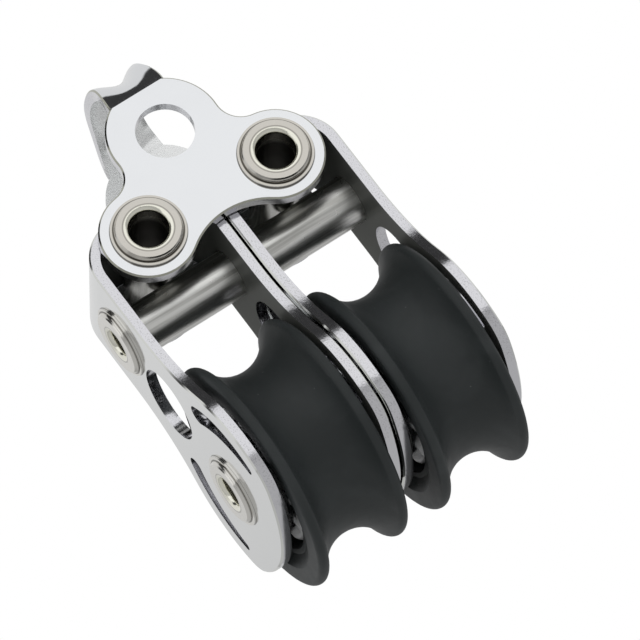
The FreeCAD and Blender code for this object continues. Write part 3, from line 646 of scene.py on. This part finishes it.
@dataclass(frozen=True)
class RolledSteel:
    """Warm nickel-toned steel of rivets and washers, with a painted highlight round the bore's
    mouth, painted shade in the bore, and thin dark lines at the joints and round the mouth that are
    painted shade and dirt.
    """

    tone: Colour = (0.65, 0.625, 0.575)
    # painted highlight: a bright ring round the bore's mouth
    mouth_highlight_tone: Colour = (0.88, 0.87, 0.77)
    # painted shade inside the bore
    bore_shade_tone: Colour = (0.040, 0.036, 0.027)
    # thin dark lines at the joint and round the mouth: painted shade and dirt
    joint_shade_and_dirt_tone: Colour = (0.06, 0.055, 0.04)
    blotch_shade: float = 0.84
    blotch_share: float = 0.4
    joint_share: float = 0.9
    groove_share: float = 0.45
    roughness: float = 0.15
    cloud_roughness: float = 0.06
    bore_roughness: float = 0.3
    mark_scale: float = 420.0
    pitch: float = 0.05 * MM
    ring_depth: float = 0.0005 * MM
    dents: Noise = Noise(700.0)
    dent_depth: float = 0.010 * MM
    head_radius: float = 3.08 * MM
    joint_gap: float = 0.05 * MM
    mouth_reach: float = 0.45 * MM
    mouth_edge: float = 0.06 * MM
    groove_gap: float = 0.08 * MM
    bore_edge: Span = (0.10 * MM, 0.02 * MM)
    mouth_depth: Span = (1.0 * MM, 2.4 * MM)

    def material(self, name: str, effects: Effects, rivet: str, axis: Way, bore: float) -> Material:
        """Make the finish for the pieces on one rivet's axis.

        Args:
            name: the material's name.
            effects: the shared effects.
            rivet: the rivet's node.
            axis: the rivet's direction.
            bore: radius of the rivet's bore.

        Returns:
            The material.
        """
        low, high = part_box(rivet)
        half = (high - low).dot(Vector(axis.value)) / 2
        mouth_radius = bore + self.mouth_reach
        about = {"Centre": middle(rivet), "Axis": axis.value}
        surface = Surface(name)
        tree = surface.tree
        rings = effects.turning.use(surface, {**about, "Pitch": self.pitch})
        marks = effects.handling.use(surface, {"Scale": self.mark_scale})
        joint = effects.rim_line.use(surface, {**about,
                                               "Radius": self.head_radius + self.joint_gap})
        groove = effects.rim_line.use(surface, {**about, "Radius": mouth_radius + self.groove_gap})
        colour = tree.mix(tree.math("MULTIPLY", marks.outputs["Blotch"], self.blotch_share),
                          opaque(self.tone), opaque(self.tone, self.blotch_shade))
        # painted highlight: a bright ring round the bore's mouth
        mouth = tree.band(rings.outputs["Reach"], mouth_radius + self.mouth_edge,
                          mouth_radius - self.mouth_edge)
        colour = tree.mix(mouth, colour, opaque(self.mouth_highlight_tone))
        # thin dark lines at the head's joint and round the mouth: painted shade and dirt
        lines = tree.math("MAXIMUM", tree.math("MULTIPLY", joint.outputs["Line"], self.joint_share),
                          tree.math("MULTIPLY", groove.outputs["Line"], self.groove_share))
        colour = tree.mix(lines, colour, opaque(self.joint_shade_and_dirt_tone))
        # painted shade on the bore's wall, away from its ends
        near_bore = tree.band(rings.outputs["Reach"], *(bore + edge for edge in self.bore_edge))
        deep = tree.band(rings.outputs["Along"], *(half - depth for depth in self.mouth_depth))
        in_bore = tree.math("MULTIPLY", near_bore, deep)
        colour = tree.mix(in_bore, colour, opaque(self.bore_shade_tone))
        rough = tree.raised(self.roughness, marks.outputs["Cloud"], self.cloud_roughness)
        rough = tree.raised(rough, in_bore, self.bore_roughness)
        surface.set({"Base Color": colour, "Roughness": rough, "Metallic": 1.0})
        surface.bump([(tree.noise(surface.place, self.dents), self.dent_depth),
                      (rings.outputs["Height"], self.ring_depth)])
        return surface.material


@dataclass(frozen=True)
class DrawnSteel:
    """Drawn tube with long fine streaks along its axis and small pits."""

    tone: Colour = (0.70, 0.70, 0.67)
    dark_tone: Colour = (0.26, 0.25, 0.22)
    streak_share: float = 0.65
    pit_share: float = 0.6
    roughness: float = 0.15
    blotch_roughness: float = 0.10
    fineness: float = 8000.0
    stretch: float = 0.04
    pits: Specks = Specks(3400.0, 0.22)
    mark_scale: float = 260.0
    grain_depth: float = 0.006 * MM
    blotch_depth: float = 0.002 * MM

    def material(self, name: str, effects: Effects, axis: Way) -> Material:
        """Make the finish for tubes that lie along one axis.

        Args:
            name: the material's name.
            effects: the shared effects.
            axis: the tubes' direction.

        Returns:
            The material.
        """
        surface = Surface(name)
        tree = surface.tree
        stretch = tuple(self.stretch if share else 1.0 for share in axis.value)
        grain = effects.brushing.use(surface, {"Stretch": stretch, "Fineness": self.fineness})
        blotch = effects.handling.use(surface, {"Scale": self.mark_scale}).outputs["Blotch"]
        pits = effects.dust.use(surface, self.pits.sockets()).outputs["Speck"]
        colour = tree.tint(opaque(self.tone), grain.outputs["Streaks"], self.streak_share,
                           self.dark_tone)
        colour = tree.tint(colour, pits, self.pit_share, self.dark_tone)
        rough = tree.raised(self.roughness, blotch, self.blotch_roughness)
        surface.set({"Base Color": colour, "Roughness": rough, "Metallic": 1.0})
        surface.bump([(grain.outputs["Height"], self.grain_depth), (blotch, self.blotch_depth)])
        return surface.material


@dataclass(frozen=True)
class GroundSteel:
    """Ground bearing steel of the races, with rings about the axle."""

    tone: Colour = (0.55, 0.56, 0.57)
    blotch_shade: float = 0.8
    roughness: float = 0.22
    cloud_roughness: float = 0.1
    mark_scale: float = 300.0
    pitch: float = 0.02 * MM
    ring_depth: float = 0.001 * MM

    def material(self, name: str, effects: Effects, centre: Place) -> Material:
        """Make the finish for races about the axle.

        Args:
            name: the material's name.
            effects: the shared effects.
            centre: a point on the axle's line.

        Returns:
            The material.
        """
        surface = Surface(name)
        tree = surface.tree
        rings = effects.turning.use(surface, {"Centre": centre, "Axis": Way.X.value,
                                              "Pitch": self.pitch})
        marks = effects.handling.use(surface, {"Scale": self.mark_scale})
        colour = tree.mix(marks.outputs["Blotch"], opaque(self.tone),
                          opaque(self.tone, self.blotch_shade))
        rough = tree.raised(self.roughness, marks.outputs["Cloud"], self.cloud_roughness)
        surface.set({"Base Color": colour, "Roughness": rough, "Metallic": 1.0})
        surface.bump([(rings.outputs["Height"], self.ring_depth)])
        return surface.material


@dataclass(frozen=True)
class BallSteel:
    """Polished bearing balls, painted near white and barely metallic: a painted reflection of the
    bright surround.
    """

    # painted reflection: near white, so the balls look as bright as the surround they mirror
    tone: Colour = (0.95, 0.955, 0.96)
    cloud_shade: float = 0.9
    roughness: float = 0.16
    cloud_roughness: float = 0.12
    # barely metallic, so the white tone shows as a painted reflection
    metal: float = 0.1
    mark_scale: float = 500.0
    blotch_depth: float = 0.0004 * MM

    def material(self, name: str, effects: Effects) -> Material:
        """Make the finish of the balls.

        Args:
            name: the material's name.
            effects: the shared effects.

        Returns:
            The material.
        """
        surface = Surface(name)
        tree = surface.tree
        marks = effects.handling.use(surface, {"Scale": self.mark_scale})
        colour = tree.mix(marks.outputs["Cloud"], opaque(self.tone),
                          opaque(self.tone, self.cloud_shade))
        rough = tree.raised(self.roughness, marks.outputs["Cloud"], self.cloud_roughness)
        surface.set({"Base Color": colour, "Roughness": rough, "Metallic": self.metal})
        surface.bump([(marks.outputs["Blotch"], self.blotch_depth)])
        return surface.material


@dataclass(frozen=True)
class MouldedBlack:
    """Black moulded polymer: satin, faintly ringed by its mould, with a few specks of dust."""

    tone: Colour = (0.018, 0.022, 0.0225)
    worn_tone: Colour = (0.032, 0.037, 0.038)
    dust_tone: Colour = (0.20, 0.21, 0.205)
    worn_share: float = 0.6
    dust_share: float = 0.6
    roughness: float = 0.44
    blotch_roughness: float = 0.14
    gloss: float = 0.33
    mark_scale: float = 150.0
    specks: Specks = Specks(1500.0, 0.09)
    pitch: float = 0.03 * MM
    ring_depth: float = 0.0015 * MM
    pores: Noise = Noise(4200.0, 3.0, 0.6)
    pore_depth: float = 0.004 * MM

    def material(self, name: str, effects: Effects, centre: Place) -> Material:
        """Make the finish of one sheave.

        Args:
            name: the material's name.
            effects: the shared effects.
            centre: a point on the sheave's axis.

        Returns:
            The material.
        """
        surface = Surface(name)
        tree = surface.tree
        rings = effects.turning.use(surface, {"Centre": centre, "Axis": Way.X.value,
                                              "Pitch": self.pitch})
        marks = effects.handling.use(surface, {"Scale": self.mark_scale})
        specks = effects.dust.use(surface, self.specks.sockets()).outputs["Speck"]
        colour = tree.tint(opaque(self.tone), marks.outputs["Cloud"], self.worn_share,
                           self.worn_tone)
        colour = tree.tint(colour, specks, self.dust_share, self.dust_tone)
        rough = tree.raised(self.roughness, marks.outputs["Blotch"], self.blotch_roughness)
        surface.set({"Base Color": colour, "Roughness": rough, "Specular IOR Level": self.gloss})
        surface.bump([(rings.outputs["Height"], self.ring_depth),
                      (tree.noise(surface.place, self.pores), self.pore_depth)])
        return surface.material


HEAD_SHEET = SheetSteel(grain_stretch=(0.12, 1.0, 1.0), edge_tone=(0.40, 0.40, 0.33),
                        inside_tone_and_shade=(0.90, 0.91, 0.91), inside_roughness=0.26, inside_metal=0.6)
# the side straps keep the dark inside tone, which is painted shade on their inner faces
SIDE_SHEET = SheetSteel(tone=(0.80, 0.81, 0.81))
# a lighter painted shade in the bores of the side rivets
SIDE_RIVET = RolledSteel(tone=(0.78, 0.765, 0.725), bore_shade_tone=(0.62, 0.605, 0.57))
BAR_TUBE = DrawnSteel(tone=(0.88, 0.88, 0.85), dark_tone=(0.30, 0.295, 0.27), roughness=0.24)


def dress(node: str, material: Material) -> None:
    """Give a CAD node its material and report it.

    Args:
        node: the node's name.
        material: its material.
    """
    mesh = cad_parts[node].data
    mesh.materials.clear()
    mesh.materials.append(material)
    LOG.info("%s has finish %s", node, material.name)


def middle(node: str) -> Place:
    """Middle of a CAD node's box."""
    low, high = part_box(node)
    return tuple((low + high) / 2)


@dataclass
class HeadAssembly:
    """The folded head strap with its two rivets, their washers and spacers."""

    effects: Effects
    sheet: SheetSteel = HEAD_SHEET
    rolled: RolledSteel = RolledSteel()
    drawn: DrawnSteel = DrawnSteel()
    bend_height: float = 4.45 * MM
    fold_flat: float = 1.8 * MM
    bore: float = 1.75 * MM
    washer_radius: float = 3.4 * MM

    def build(self) -> None:
        """Dress every piece of the head."""
        rims = tuple(Rim(middle("head_rivet_" + side), self.washer_radius) for side in SIDES)
        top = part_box("head_strap")[1].z - self.fold_flat
        bent = Bent(Way.Y, Way.X, (0.0, 0.0, self.bend_height), top)
        dress("head_strap", self.sheet.material("head_sheet", self.effects, bent, rims))
        tube = self.drawn.material("head_tube", self.effects, Way.Y)
        for side in SIDES:
            rivet = "head_rivet_" + side
            rolled = self.rolled.material("rolled_head_" + side, self.effects, rivet, Way.Y,
                                          self.bore)
            dress(rivet, rolled)
            dress("head_washers_" + side, rolled)
            dress("head_spacer_" + side, tube)


@dataclass
class CrossbarAssembly:
    """The crossbar's rivet, washers and spacers."""

    effects: Effects
    rolled: RolledSteel = SIDE_RIVET
    drawn: DrawnSteel = BAR_TUBE
    bore: float = 1.25 * MM

    def build(self) -> None:
        """Dress every piece of the crossbar."""
        rolled = self.rolled.material("rolled_crossbar", self.effects, "crossbar_rivet", Way.X,
                                      self.bore)
        dress("crossbar_rivet", rolled)
        dress("crossbar_washers", rolled)
        tube = self.drawn.material("crossbar_tube", self.effects, Way.X)
        for side in SIDES:
            dress("crossbar_spacer_" + side, tube)


@dataclass
class SideStraps:
    """The two hairpin straps that carry everything between head and axle."""

    effects: Effects
    sheet: SheetSteel = SIDE_SHEET
    slot_reach: float = 8.9 * MM
    plate: float = 1.0 * MM
    bend_radius: float = 3.2 * MM
    crossbar_washer_radius: float = 3.4 * MM
    axle_washer_radius: float = 3.5 * MM

    def build(self) -> None:
        """Dress both straps with their own finish."""
        axle = middle("axle_rivet")
        rims = (Rim(middle("crossbar_rivet"), self.crossbar_washer_radius),
                Rim(axle, self.axle_washer_radius))
        for side in SIDES:
            node = "side_strap_" + side
            bend_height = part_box(node)[1].z - self.plate - self.bend_radius
            bent = Bent(Way.X, Way.Y, (middle(node)[0], 0.0, bend_height),
                        calm=Rim(axle, self.slot_reach))
            dress(node, self.sheet.material("side_sheet_" + side, self.effects, bent, rims))


@dataclass
class AxleAssembly:
    """The axle rivet with its washers."""

    effects: Effects
    rolled: RolledSteel = SIDE_RIVET
    bore: float = 1.4 * MM

    def build(self) -> None:
        """Dress the axle rivet and its washers."""
        rolled = self.rolled.material("rolled_axle", self.effects, "axle_rivet", Way.X, self.bore)
        dress("axle_rivet", rolled)
        dress("axle_washers", rolled)


@dataclass
class BallSheaves:
    """The two sheaves with their races and balls."""

    effects: Effects
    black: MouldedBlack = MouldedBlack()
    race: GroundSteel = GroundSteel()
    ball: BallSteel = BallSteel()

    def build(self) -> None:
        """Dress both sheaves with all that turns in them."""
        balls = self.ball.material("ball_polish", self.effects)
        races = self.race.material("race_ground", self.effects, middle("sheave_left"))
        for side in SIDES:
            sheave = "sheave_" + side
            dress(sheave, self.black.material("moulded_" + side, self.effects, middle(sheave)))
            dress("balls_" + side, balls)
            for half in ("outer", "inner"):
                dress(f"race_{side}_{half}", races)


@dataclass(frozen=True)
class View:
    """The photograph's view: where the camera stands, where it looks and how far it is turned."""

    place: Place = (-179.15 * MM, -635.0 * MM, -259.83 * MM)
    azimuth: float = -15.988
    elevation: float = -19.951
    roll: float = -37.52
    shift: Span = (-0.0005, -0.00016)
    lens: float = 450.0
    sensor: float = 36.0
    clip: Span = (0.01, 20.0)

    def camera(self) -> None:
        """Make the scene's camera."""
        azimuth = math.radians(self.azimuth)
        elevation = math.radians(self.elevation)
        back = Vector((math.cos(elevation) * math.sin(azimuth),
                       -math.cos(elevation) * math.cos(azimuth), math.sin(elevation)))
        right = Vector(Way.Z.value).cross(back).normalized()
        up = back.cross(right)
        turn = math.radians(self.roll)
        rolled_right = right * math.cos(turn) + up * math.sin(turn)
        rolled_up = up * math.cos(turn) - right * math.sin(turn)
        axes = Matrix((rolled_right, rolled_up, back)).transposed().to_4x4()
        data = bpy.data.cameras.new("photo_view")
        data.lens = self.lens
        data.sensor_width = self.sensor
        data.shift_x, data.shift_y = self.shift
        data.clip_start, data.clip_end = self.clip
        camera = bpy.data.objects.new("photo_view", data)
        camera.matrix_world = Matrix.Translation(Vector(self.place)) @ axes
        bpy.context.scene.collection.objects.link(camera)
        bpy.context.scene.camera = camera


@dataclass
class Studio:
    """Plain pale floor, white surround and soft light.

    Levels are of plain light, where 1 is white. What polished metal reflects is divided by the
    direction that it comes from: the card stands in front (towards -Y), and the gap lies overhead.
    """

    floor_reach: float = 1.5
    floor_rings: int = 24
    floor_spokes: int = 96
    floor_tone: float = 0.90
    white_reach: Span = (0.10, 0.45)
    fill: float = 0.85
    near_floor: float = 0.50
    far_floor: float = 0.40
    far_reach: Span = (0.05, 0.12)
    surround: float = 0.74
    low_surround: float = 0.60
    low_height: Span = (0.29, 0.37)
    card: float = 0.94
    card_edge: Span = (-0.36, -0.46)
    gap: float = 0.04
    gap_front: Span = (-0.48, -0.38)
    gap_back: Span = (0.14, 0.06)
    gap_height: Span = (0.60, 0.72)

    def floor(self) -> None:
        """Lay a round floor under the part, in rings of points spaced by their number squared."""
        rings, spokes = self.floor_rings, self.floor_spokes
        reach = self.floor_reach * (np.arange(1, rings + 1) / rings) ** 2
        angle = np.linspace(0.0, 2.0 * math.pi, spokes, endpoint=False)
        points = np.zeros((rings * spokes + 1, 3))
        points[1:, 0] = np.outer(reach, np.cos(angle)).ravel()
        points[1:, 1] = np.outer(reach, np.sin(angle)).ravel()
        points[:, 2] = CAD_BOX[0][2]
        spoke = np.arange(spokes)
        after = (spoke + 1) % spokes
        start = 1 + np.arange(rings - 1)[:, None] * spokes
        quads = np.stack([start + spoke, start + spokes + spoke, start + spokes + after,
                          start + after], axis=-1)
        middle_fan = np.stack([np.zeros(spokes, int), 1 + spoke, 1 + after], axis=-1)
        mesh = bpy.data.meshes.new("floor")
        mesh.from_pydata(points.tolist(), [], middle_fan.tolist() + quads.reshape(-1, 4).tolist())
        floor = bpy.data.objects.new("floor", mesh)
        bpy.context.scene.collection.objects.link(floor)
        mesh.materials.append(self.floor_material())

    def floor_material(self) -> Material:
        """Make the floor pale and matt with the object's shadow on it, and white further out.

        A camera below looks through it. The object is lit from it, and mirrors it, at even levels.

        Returns:
            The material.
        """
        material = bpy.data.materials.new("pale_floor")
        material.use_nodes = True
        tree = Tree(material.node_tree)
        reach = tree.vector("LENGTH", tree.add("TexCoord").outputs["Object"]).outputs["Value"]
        path = tree.add("LightPath")
        seen = path.outputs["Is Camera Ray"]
        mirrored = tree.mix(tree.band(reach, *self.far_reach), grey(self.near_floor),
                            grey(self.far_floor))
        bounced = tree.mix(path.outputs["Is Glossy Ray"], grey(self.floor_tone * self.fill),
                           mirrored)
        bounce = tree.add("Emission", {"Color": bounced})
        matt = tree.add("BsdfDiffuse", {"Color": grey(self.floor_tone)})
        white = tree.add("Emission", {"Color": grey(1.0)})
        clear = tree.add("BsdfTransparent")
        fade = tree.math("MULTIPLY", tree.band(reach, *self.white_reach), seen)
        under = tree.math("MULTIPLY", seen, tree.add("NewGeometry").outputs["Backfacing"])
        top = tree.add("MixShader", {0: fade, 1: matt.outputs[0], 2: white.outputs[0]})
        shown = tree.add("MixShader", {0: under, 1: top.outputs[0], 2: clear.outputs[0]})
        shader = tree.add("MixShader", {0: seen, 1: bounce.outputs[0], 2: shown.outputs[0]})
        tree.add("OutputMaterial", {"Surface": shader.outputs[0]})
        return material

    def world(self) -> None:
        """White to a camera, even light for matt surfaces, and a studio for polished ones."""
        world = bpy.data.worlds.new("studio")
        bpy.context.scene.world = world
        world.use_nodes = True
        tree = Tree(world.node_tree)
        path = tree.add("LightPath")
        lit = tree.level(path.outputs["Is Glossy Ray"], self.fill, self.reflected(tree))
        shown = tree.level(path.outputs["Is Camera Ray"], lit, 1.0)
        background = tree.add("Background", {"Color": grey(1.0), "Strength": shown})
        tree.add("OutputWorld", {"Surface": background.outputs[0]})

    def reflected(self, tree: Tree) -> Socket:
        """What polished metal reflects: pale all round, bright in front, dark overhead.

        Args:
            tree: the world's node tree.

        Returns:
            The level.
        """
        way = tree.vector("NORMALIZE", tree.add("TexCoord").outputs["Generated"]).outputs[0]
        parts = tree.add("SeparateXYZ", {"Vector": way}).outputs
        gap = tree.math("MULTIPLY", tree.band(parts["Y"], *self.gap_front),
                        tree.band(parts["Y"], *self.gap_back))
        gap = tree.math("MULTIPLY", gap, tree.band(parts["Z"], *self.gap_height))
        pale = tree.band(parts["Z"], *self.low_height, self.low_surround, self.surround)
        with_card = tree.level(tree.band(parts["Y"], *self.card_edge), pale, self.card)
        return tree.level(gap, with_card, self.gap)

    def build(self) -> None:
        """Set up the floor, the surround and the colour management."""
        self.floor()
        self.world()
        bpy.context.scene.view_settings.view_transform = "Standard"


def main() -> None:
    """Dress the whole block in the order of its assembly, then light and frame it."""
    logging.basicConfig(level=logging.INFO, format="%(name)s %(message)s")
    View().camera()
    effects = make_effects()
    for part in (HeadAssembly, CrossbarAssembly, SideStraps, AxleAssembly, BallSheaves):
        part(effects).build()
    Studio().build()


if __name__ == "__main__":
    main()
